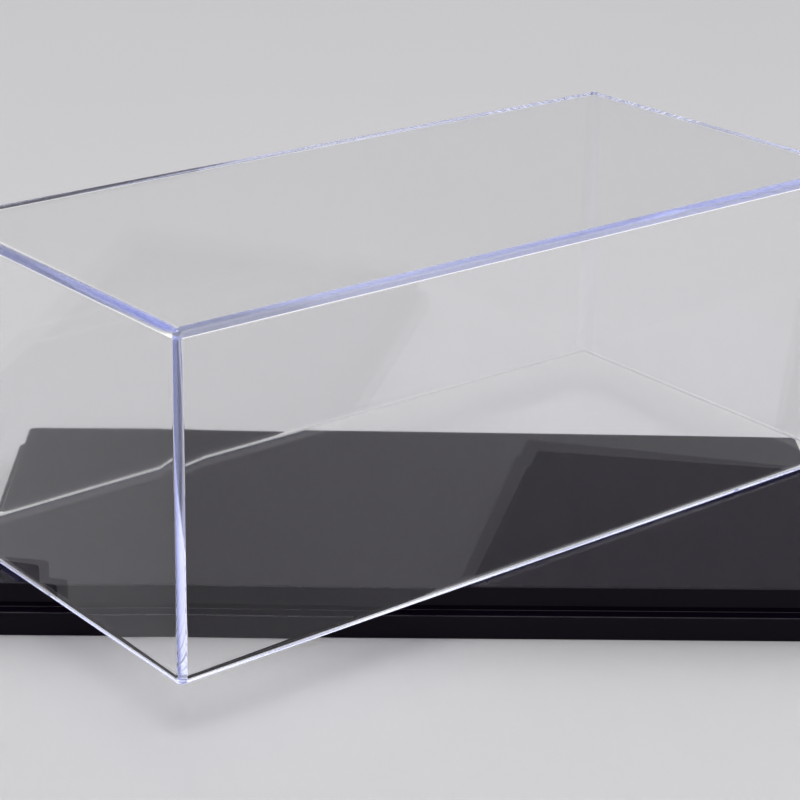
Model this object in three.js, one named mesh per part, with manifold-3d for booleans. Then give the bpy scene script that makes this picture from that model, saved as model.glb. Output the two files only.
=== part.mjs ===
// Display case for a small scale model: a clear one-piece cover and a glossy black base in two steps.
// The cover is off its ledge and stands turned on top of the base, as when the case is being opened.
// Millimetres, +Z up, +X along the base. The origin is the middle of the base's underside.
import * as THREE from "three";
import { mergeVertices } from "three/addons/utils/BufferGeometryUtils.js";
import Module from "manifold-3d";

// Base: a lower flange whose rim stays free as a ledge, and an upper platform.
const PLATFORM_X = 155;
const PLATFORM_Y = 71.6;
const LEDGE = 2.4;
const FLANGE_HEIGHT = 4.45;
const PLATFORM_HEIGHT = 4.55;
const BASE_WALL = 2.2;
const BASE_CORNER = 1.2;
const BASE_EDGE = 0.4;
const RIB = 1.8;
const CROSS_RIBS = 2;

// Cover: a five-sided box, open below. When closed its rim stands on the ledge, flush with the flange.
// Its walls are drafted more outside than inside, so they thin a little from the rim to the top.
const COVER_HEIGHT = 60;
const RIM_WALL = 2.4;
const TOP_WALL = 1.9;
const COVER_CORNER = 1.2;
const COVER_TOP_EDGE = 1.4;
const INNER_CORNER = 0.2;
const CEILING_EDGE = 0.35;
const RIM_OUTER_EDGE = 0.8;
const RIM_INNER_EDGE = 1.2;
const DRAFT = THREE.MathUtils.degToRad(1.1);
const INNER_DRAFT = THREE.MathUtils.degToRad(0.6);

// Where the lifted cover stands on the platform, and the gap left under its rim.
const COVER_SHIFT_X = -0.2;
const COVER_SHIFT_Y = 5.7;
const COVER_TURN = THREE.MathUtils.degToRad(38.15);
const REST_GAP = 0.1;

const FLANGE_X = PLATFORM_X + 2 * LEDGE;
const FLANGE_Y = PLATFORM_Y + 2 * LEDGE;
const BASE_HEIGHT = FLANGE_HEIGHT + PLATFORM_HEIGHT;
const ARC_STEPS = 4;
const OVERSHOOT = 1;

const wasm = await Module();
wasm.setup();

// A closed geometry as a manifold solid.
function toSolid(geometry) {
  const bare = geometry.clone();
  bare.deleteAttribute("normal");
  bare.deleteAttribute("uv");
  const merged = mergeVertices(bare, 1e-4);
  return new wasm.Manifold(
    new wasm.Mesh({
      numProp: 3,
      vertProperties: new Float32Array(merged.attributes.position.array),
      triVerts: new Uint32Array(merged.index.array),
    }),
  );
}

// A manifold solid as a geometry that three.js draws.
function toGeometry(solid) {
  const mesh = solid.getMesh();
  const geometry = new THREE.BufferGeometry();
  geometry.setAttribute("position", new THREE.BufferAttribute(mesh.vertProperties, 3));
  geometry.setIndex(new THREE.BufferAttribute(mesh.triVerts, 1));
  const faceted = geometry.toNonIndexed();
  faceted.computeVertexNormals();
  return faceted;
}

// A rectangle with round corners, centred on the origin.
function roundedRectangle(width, depth, radius) {
  const shape = new THREE.Shape();
  const x = width / 2 - radius;
  const y = depth / 2 - radius;
  const quarter = Math.PI / 2;
  shape.absarc(x, y, radius, 0, quarter);
  shape.absarc(-x, y, radius, quarter, 2 * quarter);
  shape.absarc(-x, -y, radius, 2 * quarter, 3 * quarter);
  shape.absarc(x, -y, radius, 3 * quarter, 4 * quarter);
  shape.closePath();
  return shape;
}

// A block whose outline steps in by layer.inset at each height layer.z, from the bottom up.
function layeredBlock(width, depth, radius, layers) {
  const last = layers.length - 1;
  const geometry = new THREE.ExtrudeGeometry(roundedRectangle(width, depth, radius), {
    depth: last,
    steps: last,
    curveSegments: ARC_STEPS,
    bevelEnabled: false,
  });
  const points = geometry.attributes.position;
  for (let i = 0; i < points.count; i++) {
    const layer = layers[Math.round(points.getZ(i))];
    const x = points.getX(i);
    const y = points.getY(i);
    points.setXYZ(i, x - Math.sign(x) * layer.inset, y - Math.sign(y) * layer.inset, layer.z);
  }
  return toSolid(geometry);
}

// The layers of a quarter-round edge that ends at height z, on a wall already inset by that much.
function roundedEdge(z, inset, radius, upwards) {
  const layers = [];
  for (let i = 0; i <= ARC_STEPS; i++) {
    const angle = (i / ARC_STEPS) * (Math.PI / 2);
    const inwards = inset + radius * (1 - Math.cos(angle));
    const drop = radius * (1 - Math.sin(angle));
    layers.push({ z: upwards ? z - drop : z + drop, inset: inwards });
  }
  return upwards ? layers : layers.reverse();
}

// How far a drafted wall has leaned in at a height above its foot.
const lean = (height, draft = DRAFT) => height * Math.tan(draft);

function blackTier(width, depth, bottom, top) {
  const edge = roundedEdge(top, lean(top - bottom), BASE_EDGE, true);
  return layeredBlock(width, depth, BASE_CORNER, [{ z: bottom, inset: 0 }, ...edge]);
}

function boxSolid(width, depth, bottom, top, x = 0, y = 0) {
  const box = new THREE.BoxGeometry(width, depth, top - bottom);
  return toSolid(box.translate(x, y, (bottom + top) / 2));
}

// The hollow under the base follows its two steps, so the wall keeps one thickness.
function baseHollow() {
  const shoulder = FLANGE_HEIGHT - BASE_WALL;
  const ceiling = BASE_HEIGHT - BASE_WALL;
  const inX = 2 * BASE_WALL;
  const lower = boxSolid(FLANGE_X - inX, FLANGE_Y - inX, -OVERSHOOT, shoulder);
  const upper = boxSolid(PLATFORM_X - inX, PLATFORM_Y - inX, -OVERSHOOT, ceiling);
  return lower.add(upper);
}

// One rib along the base and a few across it, flush with the rim that the case stands on.
function baseRibs() {
  const top = BASE_HEIGHT - BASE_WALL / 2;
  let ribs = boxSolid(FLANGE_X - BASE_WALL, RIB, 0, FLANGE_HEIGHT / 2);
  ribs = ribs.add(boxSolid(PLATFORM_X - BASE_WALL, RIB, 0, top));
  for (let i = 1; i <= CROSS_RIBS; i++) {
    const x = PLATFORM_X * (i / (CROSS_RIBS + 1) - 0.5);
    ribs = ribs.add(boxSolid(RIB, FLANGE_Y - BASE_WALL, 0, FLANGE_HEIGHT / 2, x));
    ribs = ribs.add(boxSolid(RIB, PLATFORM_Y - BASE_WALL, 0, top, x));
  }
  return ribs;
}

function makeBase() {
  const flange = blackTier(FLANGE_X, FLANGE_Y, 0, FLANGE_HEIGHT);
  const platform = blackTier(PLATFORM_X, PLATFORM_Y, FLANGE_HEIGHT / 2, BASE_HEIGHT);
  return flange.add(platform).subtract(baseHollow()).add(baseRibs());
}

// The cover's hollow. It opens out over the rim, whose inner edge is well rounded to guide the base in.
function coverHollow() {
  const ceiling = COVER_HEIGHT - TOP_WALL;
  const inX = 2 * RIM_WALL;
  const rim = roundedEdge(0, 0, RIM_INNER_EDGE, false);
  return layeredBlock(FLANGE_X - inX, FLANGE_Y - inX, INNER_CORNER, [
    { z: -OVERSHOOT, inset: -RIM_INNER_EDGE },
    ...rim.map(({ z, inset }) => ({ z, inset: -inset })),
    ...roundedEdge(ceiling, lean(ceiling, INNER_DRAFT), CEILING_EDGE, true),
  ]);
}

function makeCover() {
  const outer = layeredBlock(FLANGE_X, FLANGE_Y, COVER_CORNER, [
    ...roundedEdge(0, 0, RIM_OUTER_EDGE, false),
    ...roundedEdge(COVER_HEIGHT, lean(COVER_HEIGHT), COVER_TOP_EDGE, true),
  ]);
  return outer.subtract(coverHollow());
}

function mesh(name, solid, look) {
  const made = new THREE.Mesh(toGeometry(solid), new THREE.MeshStandardMaterial(look));
  made.name = name;
  return made;
}

const displayCase = new THREE.Group();
displayCase.add(mesh("base", makeBase(), { color: 0x0f0d10, roughness: 0.08, metalness: 0 }));

const liftedCover = new THREE.Group();
liftedCover.position.set(COVER_SHIFT_X, COVER_SHIFT_Y, BASE_HEIGHT + REST_GAP);
liftedCover.rotation.z = COVER_TURN;
const clear = { color: 0xf2f2fa, roughness: 0.02, metalness: 0, transparent: true, opacity: 0.2 };
liftedCover.add(mesh("clear_cover", makeCover(), clear));
displayCase.add(liftedCover);

export default displayCase;
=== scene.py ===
"""Display case for a small scale model: a clear one-piece cover standing turned on a glossy black base."""

import math

import bpy
from mathutils import Matrix, Vector


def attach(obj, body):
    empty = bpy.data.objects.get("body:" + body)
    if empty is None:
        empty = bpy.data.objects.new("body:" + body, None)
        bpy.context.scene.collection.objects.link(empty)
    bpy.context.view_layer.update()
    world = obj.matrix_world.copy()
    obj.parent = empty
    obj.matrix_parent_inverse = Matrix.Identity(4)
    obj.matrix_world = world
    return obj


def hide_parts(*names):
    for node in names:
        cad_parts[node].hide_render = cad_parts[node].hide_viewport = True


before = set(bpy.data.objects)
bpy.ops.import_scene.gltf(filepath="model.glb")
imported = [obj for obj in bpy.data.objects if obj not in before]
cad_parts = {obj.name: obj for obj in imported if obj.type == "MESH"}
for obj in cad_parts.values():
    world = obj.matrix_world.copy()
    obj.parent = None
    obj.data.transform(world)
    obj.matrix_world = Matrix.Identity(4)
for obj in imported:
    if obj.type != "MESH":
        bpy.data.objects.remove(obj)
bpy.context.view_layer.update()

MM = 0.001
QUARTER = math.pi / 2
DRAFT = math.radians(1.1)
INNER_DRAFT = math.radians(0.6)

# Base, in millimetres: a flange with a ledge, and a platform inside the cover. Below, it is hollow, with
# ribs that are a little thicker at their roots.
PLATFORM_X, PLATFORM_Y = 155.0, 71.6
LEDGE = 2.4
FLANGE_HEIGHT, BASE_HEIGHT = 4.45, 9.0
BASE_WALL = 2.2
BASE_CORNER = 1.2
BASE_EDGE = 0.4
FOOT_EDGE = 0.2
ROOT = 0.15
RIB = 1.8
RIB_ROOT = 1.9
POCKET_CORNER = 0.8
POCKET_MOUTH = -1
FLANGE_X, FLANGE_Y = PLATFORM_X + 2 * LEDGE, PLATFORM_Y + 2 * LEDGE

# Cover, in millimetres, upright about its own middle with its rim at 0.
COVER_HEIGHT = 60.0
COVER_WALL = 2.4
TOP_WALL = 1.9
COVER_CORNER = 1.2
COVER_EDGE = 1.4
INNER_CORNER = 0.2
INNER_EDGE = 0.35
RIM_OUT = 0.8
RIM_IN = 1.2
SWELL = 0.06
SWELL_REACH = 4.0

# Where the lifted cover stands on the base.
COVER_AT = (-0.2, 5.7, 9.1)
COVER_TURN = math.radians(38.15)

# How finely the round parts are cut, and how alike two directions on one face are.
CORNER_STEPS = 12
SIDE_STEPS = 8
TINY_STEPS, EDGE_STEPS, TOP_STEPS = 4, 8, 12
SMALLEST_CORNER = 0.02
SAME_FACE = 0.8

# Clear plastic.
CLEAR_IOR = 1.55
CLEAR_ROUGH = 0.03
CLEAR_HAIR, CLEAR_WEAR = 0.02, 0.03
CLEAR_TONE = (1.0, 1.0, 1.0)
CLEAR_DUST = (0.8, 0.8, 0.82)
TINT = (0.28, 0.38, 0.96)
TINT_DENSITY = 2.7
RIPPLE = 0.00002

# Black plastic.
BLACK = (0.006, 0.002, 0.0115)
BLACK_WORN = (0.02, 0.018, 0.022)
BLACK_DUST = (0.3, 0.29, 0.28)
BLACK_IOR = 1.40
BLACK_ROUGH = 0.05
BLACK_HAIR, BLACK_WEAR = 0.03, 0.025
GRAIN = 0.0000015

# Floor, in metres where it has a size.
FLOOR_HALF, FLOOR_LEVEL = 3.0, -0.00002
FLOOR_COLOUR = (0.508, 0.503, 0.512)
FLOOR_UNEVEN = 0.015
FLOOR_ROUGH = 0.35
FLOOR_SHEEN = 0.5

# Light: the sky's levels, the heights on a unit sphere where each is reached, and a softbox in metres.
LOW_SKY = (0.63, 0.63, 0.635)
MID_SKY = (0.88, 0.88, 0.886)
HIGH_SKY = (1.4, 1.4, 1.405)
LOW_STOP, MID_STOP, HIGH_STOP = 0.30, 0.42, 0.60
SOFTBOX_POWER = 2.1
SOFTBOX_SIZE = (0.7, 0.5)
SOFTBOX_AT = (0.0, -0.25, 1.0)
GAMMA = 0.69
BOUNCES = 200
BRIGHTEST_BOUNCE = 4.0

# Camera, in metres.
CAMERA_AT = (-0.012602, -0.404163, 0.188403)
PITCH, YAW, ROLL = math.radians(21.393), math.radians(1.3), math.radians(1.054)
SENSOR, LENS = 36.0, 104.859
CLIP_NEAR, CLIP_FAR = 0.01, 50.0


# ---------------------------------------------------------------- mesh helpers

def lean(height, draft=DRAFT):
    """How far a drafted wall has moved in at a height above its foot."""
    return height * math.tan(draft)


def rectangle(width, depth):
    return (-width / 2, width / 2, -depth / 2, depth / 2)


def grown(box, offset):
    """A box (x0, x1, y0, y1) with every side moved out by an offset."""
    return (box[0] - offset, box[1] + offset, box[2] - offset, box[3] + offset)


def outline(box, radius, swell=0.0):
    """Points and outward directions of a rectangle with round corners, anticlockwise.
    A swell brings the sides in by that much at the corners, and fades out along them."""
    def bulge(along):
        return swell * max(0.0, 1 - along / SWELL_REACH) ** 2

    def tilt(along):
        return math.atan(2 * swell / SWELL_REACH * max(0.0, 1 - along / SWELL_REACH))

    start = radius
    for _ in range(6):
        turned = tilt(start)
        centre = bulge(start) + radius * math.cos(turned)
        start = centre - radius * math.sin(turned)
    side = [SWELL_REACH + (start - SWELL_REACH) * i / SIDE_STEPS for i in range(SIDE_STEPS)]
    sweep = [turned + (QUARTER - 2 * turned) * i / CORNER_STEPS for i in range(CORNER_STEPS + 1)]
    corner = [(-bulge(along), -along, tilt(along)) for along in side]
    corner += [(radius * math.cos(b) - centre, radius * math.sin(b) - centre, b) for b in sweep]
    corner += [(-along, -bulge(along), QUARTER - tilt(along)) for along in reversed(side)]
    x0, x1, y0, y1 = box
    points, directions = [], []
    for quarter, (x, y) in enumerate(((x1, y1), (x0, y1), (x0, y0), (x1, y0))):
        a = quarter * QUARTER
        c, s = math.cos(a), math.sin(a)
        for u, v, normal in corner:
            points.append((x + u * c - v * s, y + u * s + v * c))
            directions.append((math.cos(a + normal), math.sin(a + normal)))
    return points, directions


def wall_arc(z, radius, start, end, steps, foot=0.0, outside=False, hollow=False, draft=DRAFT):
    """Stations of a round edge that meets a drafted wall, as (offset from the wall's foot, height,
    normal angle). Its centre is at height z, inside or outside the wall line. A hollow edge has its
    normals turned round."""
    side = 1 if outside else -1
    touch = z - side * radius * math.sin(draft)
    centre = -lean(touch - foot, draft) + side * radius * math.cos(draft)
    stations = []
    for i in range(steps + 1):
        a = start + (end - start) * i / steps
        normal = a + math.pi if hollow else a
        stations.append((centre + radius * math.cos(a), z + radius * math.sin(a), normal))
    return stations


class Skin:
    """A mesh under construction, with its own smooth normal at every vertex."""

    def __init__(self):
        self.points, self.normals, self.faces = [], [], []

    def ring(self, box, radius, station, foot=0.0, draft=DRAFT, swell=0.0):
        offset, z, angle = station
        r = max(radius + offset + lean(z - foot, draft), SMALLEST_CORNER)
        points, directions = outline(grown(box, offset), r, swell)
        first = len(self.points)
        c, s = math.cos(angle), math.sin(angle)
        self.points += [(x, y, z) for x, y in points]
        self.normals += [(c * u, c * v, s) for u, v in directions]
        return list(range(first, len(self.points)))

    def rings(self, box, radius, stations, foot=0.0, draft=DRAFT, swell=0.0):
        return [self.ring(box, radius, station, foot, draft, swell) for station in stations]

    def join(self, rings):
        """Skins a chain of rings that runs upwards on the outside, or downwards on the inside."""
        for low, high in zip(rings, rings[1:]):
            for i in range(len(low)):
                j = (i + 1) % len(low)
                self.faces.append((low[i], low[j], high[j], high[i]))

    def cap(self, ring, up):
        self.faces.append(tuple(ring if up else reversed(ring)))

    def build(self, name, place=Matrix.Identity(4)):
        mesh = bpy.data.meshes.new(name)
        mesh.from_pydata([place @ (Vector(p) * MM) for p in self.points], [], self.faces)
        mesh.polygons.foreach_set("use_smooth", [True] * len(mesh.polygons))
        mesh.update()
        turned = [place.to_3x3() @ Vector(n) for n in self.normals]
        mesh.normals_split_custom_set_from_vertices(turned)
        made = bpy.data.objects.new(name, mesh)
        bpy.context.scene.collection.objects.link(made)
        return made


# ---------------------------------------------------------------- pieces

def make_cover():
    """One closed wall: up the outside from the rim to the top, and up the inside to the ceiling."""
    skin = Skin()
    outer_box = rectangle(FLANGE_X, FLANGE_Y)
    outer = skin.rings(outer_box, COVER_CORNER, (
        wall_arc(RIM_OUT, RIM_OUT, -QUARTER, DRAFT, EDGE_STEPS)
        + wall_arc(COVER_HEIGHT - COVER_EDGE, COVER_EDGE, DRAFT, QUARTER, TOP_STEPS)))
    inner = skin.rings(grown(outer_box, -COVER_WALL), INNER_CORNER, (
        wall_arc(RIM_IN, RIM_IN, -QUARTER, INNER_DRAFT - math.pi, EDGE_STEPS, outside=True,
                 draft=INNER_DRAFT)
        + wall_arc(COVER_HEIGHT - TOP_WALL - INNER_EDGE, INNER_EDGE, INNER_DRAFT, QUARTER, EDGE_STEPS,
                   hollow=True, draft=INNER_DRAFT)), draft=INNER_DRAFT, swell=SWELL)
    skin.join(list(reversed(inner)) + outer)
    skin.cap(outer[-1], True)
    skin.cap(inner[-1], False)
    place = Matrix.Translation(Vector(COVER_AT) * MM) @ Matrix.Rotation(COVER_TURN, 4, "Z")
    return skin.build("cover_shell", place)


def make_base_block():
    """The base's outside as a solid block, from its foot to the top of the platform."""
    skin = Skin()
    flange = skin.rings(rectangle(FLANGE_X, FLANGE_Y), BASE_CORNER, (
        wall_arc(FOOT_EDGE, FOOT_EDGE, -QUARTER, DRAFT, TINY_STEPS)
        + wall_arc(FLANGE_HEIGHT - BASE_EDGE, BASE_EDGE, DRAFT, QUARTER, EDGE_STEPS)))
    foot = FLANGE_HEIGHT / 2
    platform = skin.rings(rectangle(PLATFORM_X, PLATFORM_Y), BASE_CORNER, (
        wall_arc(FLANGE_HEIGHT + ROOT, ROOT, -QUARTER, DRAFT - math.pi, TINY_STEPS, foot,
                 outside=True, hollow=True)
        + wall_arc(BASE_HEIGHT - BASE_EDGE, BASE_EDGE, DRAFT, QUARTER, EDGE_STEPS, foot)), foot)
    skin.join(flange + platform)
    skin.cap(flange[0], False)
    skin.cap(platform[-1], True)
    return skin


def pocket(skin, low_box, high_box):
    """One moulded hollow between the ribs, wider below, where the flange is, and open at its mouth."""
    shoulder, ceiling = FLANGE_HEIGHT - BASE_WALL, BASE_HEIGHT - BASE_WALL
    rings = [skin.ring(low_box, POCKET_CORNER - lean(z), (0, z, 0)) for z in (POCKET_MOUTH, shoulder)]
    rings += [skin.ring(high_box, POCKET_CORNER - lean(z), (0, z, 0)) for z in (shoulder, ceiling)]
    skin.join(rings)
    skin.cap(rings[0], False)
    skin.cap(rings[-1], True)


def pocket_boxes():
    """The six hollows: three along the base and two across it."""
    edges = [-PLATFORM_X / 6, PLATFORM_X / 6]
    boxes = []
    for column in range(3):
        for row in range(2):
            pair = []
            for width, depth, rib in ((FLANGE_X, FLANGE_Y, RIB), (PLATFORM_X, PLATFORM_Y, RIB_ROOT)):
                x, y = width / 2 - BASE_WALL, depth / 2 - BASE_WALL
                xs = (-x, edges[0] - rib / 2, edges[0] + rib / 2, edges[1] - rib / 2, edges[1] + rib / 2, x)
                ys = (-y, -rib / 2, rib / 2, y)
                pair.append((xs[2 * column], xs[2 * column + 1], ys[2 * row], ys[2 * row + 1]))
            boxes.append(pair)
    return boxes


def spot(point):
    """A point in millimetres, rounded so that it can be looked up."""
    return tuple(round(c, 3) for c in point)


def keep_normals(mesh, skin):
    """Gives each face corner the skin's own normal where it is still there, and the face's elsewhere."""
    known = {}
    for point, normal in zip(skin.points, skin.normals):
        known.setdefault(spot(point), []).append(Vector(normal).normalized())
    normals = [None] * len(mesh.loops)
    for polygon in mesh.polygons:
        for k in polygon.loop_indices:
            point = mesh.vertices[mesh.loops[k].vertex_index].co / MM
            fit = [n for n in known.get(spot(point), []) if n.dot(polygon.normal) > SAME_FACE]
            normals[k] = max(fit, key=polygon.normal.dot) if fit else polygon.normal.copy()
    mesh.polygons.foreach_set("use_smooth", [True] * len(mesh.polygons))
    mesh.normals_split_custom_set(normals)


def make_base():
    """The block with its six hollows cut out from below, so that ribs are left between them."""
    block_skin = make_base_block()
    block = block_skin.build("base_block")
    hollows_skin = Skin()
    for low_box, high_box in pocket_boxes():
        pocket(hollows_skin, low_box, high_box)
    hollows = hollows_skin.build("base_hollows")
    cut = block.modifiers.new("hollows", "BOOLEAN")
    cut.operation, cut.solver, cut.object = "DIFFERENCE", "EXACT", hollows
    bpy.context.view_layer.update()
    shape = block.evaluated_get(bpy.context.evaluated_depsgraph_get())
    mesh = bpy.data.meshes.new_from_object(shape)
    made = bpy.data.objects.new("base_shell", mesh)
    mesh.name = "base_shell"
    bpy.context.scene.collection.objects.link(made)
    bpy.data.objects.remove(block)
    bpy.data.objects.remove(hollows)
    keep_normals(mesh, block_skin)
    return made


# ---------------------------------------------------------------- materials

def node(tree, kind, inputs=None, **settings):
    """Adds a shader node. Each input is a value or the socket that feeds it."""
    made = tree.nodes.new("ShaderNode" + kind)
    for key, value in settings.items():
        setattr(made, key, value)
    for key, value in (inputs or {}).items():
        if isinstance(value, bpy.types.NodeSocket):
            tree.links.new(value, made.inputs[key])
        else:
            made.inputs[key].default_value = value
    return made


def new_tree(name):
    material = bpy.data.materials.new(name)
    material.use_nodes = True
    material.node_tree.nodes.clear()
    return material, material.node_tree


def spread(tree, value, low, high, to_low, to_high):
    """Maps the part of a value between two levels onto a range, and clamps it there."""
    return node(tree, "MapRange", {"Value": value, "From Min": low, "From Max": high,
                                   "To Min": to_low, "To Max": to_high}).outputs["Result"]


def maths(tree, operation, first, second):
    made = node(tree, "Math", operation=operation)
    for socket, value in zip(made.inputs, (first, second)):
        if isinstance(value, bpy.types.NodeSocket):
            tree.links.new(value, socket)
        else:
            socket.default_value = value
    return made.outputs["Value"]


def edge_mask(tree, turn=0.0):
    """Rises from 0 on the flat faces to 1 halfway round any edge of a box turned about Z."""
    normal = node(tree, "NewGeometry").outputs["Normal"]
    square = node(tree, "VectorRotate", {"Vector": normal, "Angle": -turn}, rotation_type="Z_AXIS")
    plain = node(tree, "VectorMath", {0: square.outputs["Vector"]}, operation="ABSOLUTE")
    parts = node(tree, "SeparateXYZ", {"Vector": plain.outputs["Vector"]})
    widest = maths(tree, "MAXIMUM", maths(tree, "MAXIMUM", parts.outputs["X"], parts.outputs["Y"]),
                   parts.outputs["Z"])
    return spread(tree, widest, 0.995, 0.75, 0.0, 1.0)


def scratches(tree, place, angle, scale):
    """Hairlines that run one way: a noise stretched along the line, cut to a narrow band."""
    turned = node(tree, "Mapping", {"Vector": place, "Rotation": (0.0, 0.0, angle), "Scale": scale})
    streaks = node(tree, "TexNoise", {"Vector": turned.outputs["Vector"], "Scale": 1.0, "Detail": 3.0,
                                      "Distortion": 0.3})
    return spread(tree, streaks.outputs["Fac"], 0.66, 0.72, 0.0, 1.0)


def specks(tree, place, scale, size, share):
    """Dust: a round dot in a small share of the cells of a fine cell pattern."""
    cells = node(tree, "TexVoronoi", {"Vector": place, "Scale": scale})
    dot = spread(tree, cells.outputs["Distance"], size, size * 0.6, 0.0, 1.0)
    pick = node(tree, "SeparateColor", {"Color": cells.outputs["Color"]}).outputs["Red"]
    return maths(tree, "MULTIPLY", dot, spread(tree, pick, share, share * 0.9, 0.0, 1.0))


def clear_plastic():
    """Polished clear plastic: nearly perfect, with a slow ripple, faint hairlines and a little edge wear."""
    material, tree = new_tree("clear_plastic")
    place = node(tree, "TexCoord").outputs["Object"]
    cloud = node(tree, "TexNoise", {"Vector": place, "Scale": 14.0, "Detail": 2.0}).outputs["Fac"]
    hair = scratches(tree, place, 0.9, (900.0, 25.0, 900.0))
    patches = node(tree, "TexNoise", {"Vector": place, "Scale": 220.0}).outputs["Fac"]
    wear = maths(tree, "MULTIPLY", edge_mask(tree, COVER_TURN), spread(tree, patches, 0.5, 0.7, 0.0, 1.0))
    marks = maths(tree, "ADD", maths(tree, "MULTIPLY", hair, CLEAR_HAIR),
                  maths(tree, "MULTIPLY", wear, CLEAR_WEAR))
    polish = spread(tree, cloud, 0.3, 0.7, CLEAR_ROUGH * 0.8, CLEAR_ROUGH * 1.2)
    rough = maths(tree, "ADD", polish, marks)
    tone = node(tree, "Mix", {"Factor": specks(tree, place, 160.0, 0.035, 0.12), "A": (*CLEAR_TONE, 1),
                              "B": (*CLEAR_DUST, 1)}, data_type="RGBA")
    ripple = node(tree, "Bump", {"Height": cloud, "Strength": 1.0, "Distance": RIPPLE})
    shader = node(tree, "BsdfPrincipled", {"Transmission Weight": 1.0, "IOR": CLEAR_IOR,
                                           "Base Color": tone.outputs["Result"], "Roughness": rough,
                                           "Normal": ripple.outputs["Normal"]})
    tint = node(tree, "VolumeAbsorption", {"Color": (*TINT, 1), "Density": TINT_DENSITY})
    output = node(tree, "OutputMaterial")
    tree.links.new(shader.outputs["BSDF"], output.inputs["Surface"])
    tree.links.new(tint.outputs["Volume"], output.inputs["Volume"])
    return material


def black_plastic():
    """Glossy black plastic: soft smears, hairlines, specks of dust, and edges rubbed a little dull."""
    material, tree = new_tree("black_plastic")
    place = node(tree, "TexCoord").outputs["Object"]
    smear = node(tree, "TexNoise", {"Vector": place, "Scale": 16.0, "Detail": 2.0,
                                    "Distortion": 0.6}).outputs["Fac"]
    grain = node(tree, "TexNoise", {"Vector": place, "Scale": 260.0, "Detail": 3.0}).outputs["Fac"]
    hair = maths(tree, "MAXIMUM", scratches(tree, place, 0.35, (40.0, 1400.0, 1400.0)),
                 scratches(tree, place, -0.6, (30.0, 1100.0, 1100.0)))
    wear = maths(tree, "MULTIPLY", edge_mask(tree), spread(tree, grain, 0.4, 0.65, 0.2, 1.0))
    dust = specks(tree, place, 300.0, 0.03, 0.05)
    marks = maths(tree, "ADD", maths(tree, "MULTIPLY", hair, BLACK_HAIR),
                  maths(tree, "MULTIPLY", wear, BLACK_WEAR))
    polish = spread(tree, smear, 0.3, 0.7, BLACK_ROUGH, BLACK_ROUGH * 1.3)
    rough = maths(tree, "ADD", polish, marks)
    worn = node(tree, "Mix", {"Factor": wear, "A": (*BLACK, 1), "B": (*BLACK_WORN, 1)}, data_type="RGBA")
    tone = node(tree, "Mix", {"Factor": dust, "A": worn.outputs["Result"], "B": (*BLACK_DUST, 1)},
                data_type="RGBA")
    relief = maths(tree, "SUBTRACT", grain, hair)
    uneven = node(tree, "Bump", {"Height": relief, "Strength": 1.0, "Distance": GRAIN})
    shader = node(tree, "BsdfPrincipled", {"Base Color": tone.outputs["Result"], "IOR": BLACK_IOR,
                                           "Roughness": rough, "Normal": uneven.outputs["Normal"]})
    output = node(tree, "OutputMaterial")
    tree.links.new(shader.outputs["BSDF"], output.inputs["Surface"])
    return material


def floor_material():
    """A plain pale table top with a satin sheen."""
    material, tree = new_tree("floor")
    place = node(tree, "TexCoord").outputs["Object"]
    cloud = node(tree, "TexNoise", {"Vector": place, "Scale": 6.0, "Detail": 3.0}).outputs["Fac"]
    low = tuple(c * (1 - FLOOR_UNEVEN) for c in FLOOR_COLOUR)
    high = tuple(c * (1 + FLOOR_UNEVEN) for c in FLOOR_COLOUR)
    tone = node(tree, "Mix", {"Factor": cloud, "A": (*low, 1), "B": (*high, 1)}, data_type="RGBA")
    shader = node(tree, "BsdfPrincipled", {"Base Color": tone.outputs["Result"], "Roughness": FLOOR_ROUGH,
                                           "Specular IOR Level": FLOOR_SHEEN})
    output = node(tree, "OutputMaterial")
    tree.links.new(shader.outputs["BSDF"], output.inputs["Surface"])
    return material


# ---------------------------------------------------------------- set and camera

def make_floor():
    half, z = FLOOR_HALF, FLOOR_LEVEL
    mesh = bpy.data.meshes.new("floor")
    corners = [(-half, -half, z), (half, -half, z), (half, half, z), (-half, half, z)]
    mesh.from_pydata(corners, [], [(0, 1, 2, 3)])
    made = bpy.data.objects.new("floor", mesh)
    bpy.context.scene.collection.objects.link(made)
    mesh.materials.append(floor_material())


def make_world():
    """A pale tent all round, brighter overhead."""
    world = bpy.data.worlds.new("studio")
    bpy.context.scene.world = world
    world.use_nodes = True
    tree = world.node_tree
    tree.nodes.clear()
    output = node(tree, "OutputWorld")
    place = node(tree, "TexCoord")
    parts = node(tree, "SeparateXYZ", {"Vector": place.outputs["Generated"]})
    height = node(tree, "ValToRGB", {"Fac": parts.outputs["Z"]})
    ramp = height.color_ramp
    ramp.elements[0].position, ramp.elements[0].color = 0.0, (*LOW_SKY, 1)
    ramp.elements[1].position, ramp.elements[1].color = HIGH_STOP, (*HIGH_SKY, 1)
    ramp.elements.new(LOW_STOP).color = (*LOW_SKY, 1)
    ramp.elements.new(MID_STOP).color = (*MID_SKY, 1)
    back = node(tree, "Background", {"Color": height.outputs["Color"], "Strength": 1.0})
    tree.links.new(back.outputs["Background"], output.inputs["Surface"])


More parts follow.
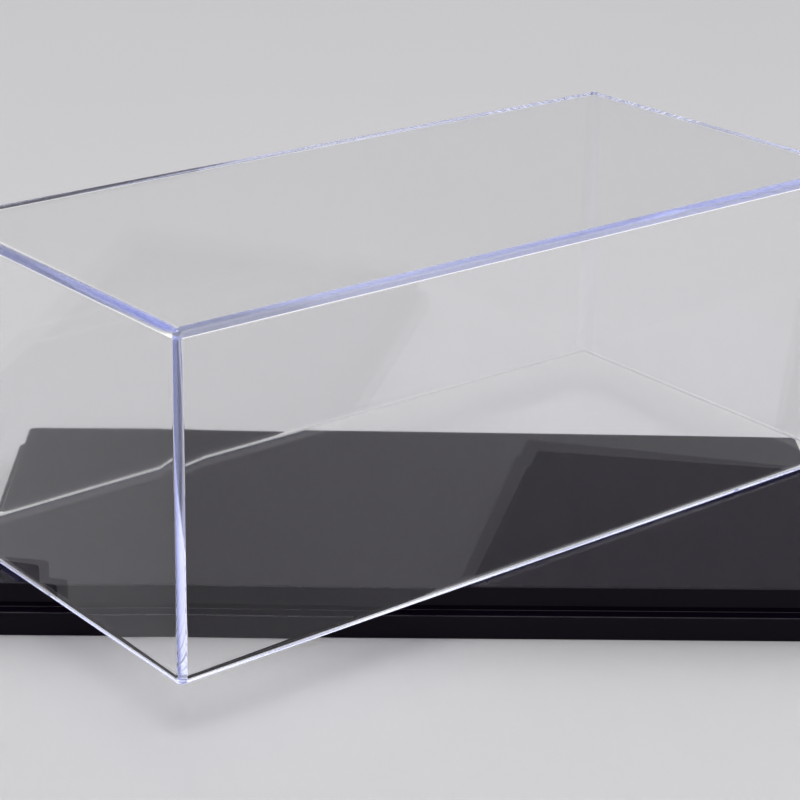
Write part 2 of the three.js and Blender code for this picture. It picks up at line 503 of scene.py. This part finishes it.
def area_light(name, size, place, aim, power):
    lamp = bpy.data.lights.new(name, "AREA")
    lamp.shape, lamp.size, lamp.size_y, lamp.energy = "RECTANGLE", size[0], size[1], power
    made = bpy.data.objects.new(name, lamp)
    made.location = place
    made.rotation_euler = (Vector(aim) - Vector(place)).to_track_quat("-Z", "Y").to_euler()
    bpy.context.scene.collection.objects.link(made)


def make_camera():
    """The camera looks slightly down along +Y, from in front and above."""
    ahead = Vector((math.sin(YAW) * math.cos(PITCH), math.cos(YAW) * math.cos(PITCH), -math.sin(PITCH)))
    right = Vector((math.cos(YAW), -math.sin(YAW), 0))
    up = right.cross(ahead)
    side = math.cos(ROLL) * right + math.sin(ROLL) * up
    over = math.cos(ROLL) * up - math.sin(ROLL) * right
    lens = bpy.data.cameras.new("camera")
    lens.sensor_width, lens.lens = SENSOR, LENS
    lens.clip_start, lens.clip_end = CLIP_NEAR, CLIP_FAR
    made = bpy.data.objects.new("camera", lens)
    turn = Matrix((side, over, -ahead)).transposed().to_4x4()
    made.matrix_world = Matrix.Translation(CAMERA_AT) @ turn
    bpy.context.scene.collection.objects.link(made)
    bpy.context.scene.camera = made


def make_look():
    """Enough bounces for light to travel the length of the clear walls, and the picture's contrast."""
    scene = bpy.context.scene
    view = scene.view_settings
    view.view_transform = "Standard"
    view.gamma = GAMMA
    scene.cycles.use_denoising = True
    scene.cycles.max_bounces = BOUNCES
    scene.cycles.transmission_bounces = BOUNCES
    scene.cycles.glossy_bounces = BOUNCES
    scene.cycles.transparent_max_bounces = BOUNCES
    scene.cycles.blur_glossy = 0.0
    scene.cycles.sample_clamp_indirect = BRIGHTEST_BOUNCE


cover = make_cover()
cover.data.materials.append(clear_plastic())
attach(cover, "cover")
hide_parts("clear_cover")

base = make_base()
base.data.materials.clear()
base.data.materials.append(black_plastic())
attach(base, "base")
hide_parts("base")

make_floor()
make_world()
area_light("softbox", SOFTBOX_SIZE, SOFTBOX_AT, (0, 0, 0), SOFTBOX_POWER)
make_camera()
make_look()
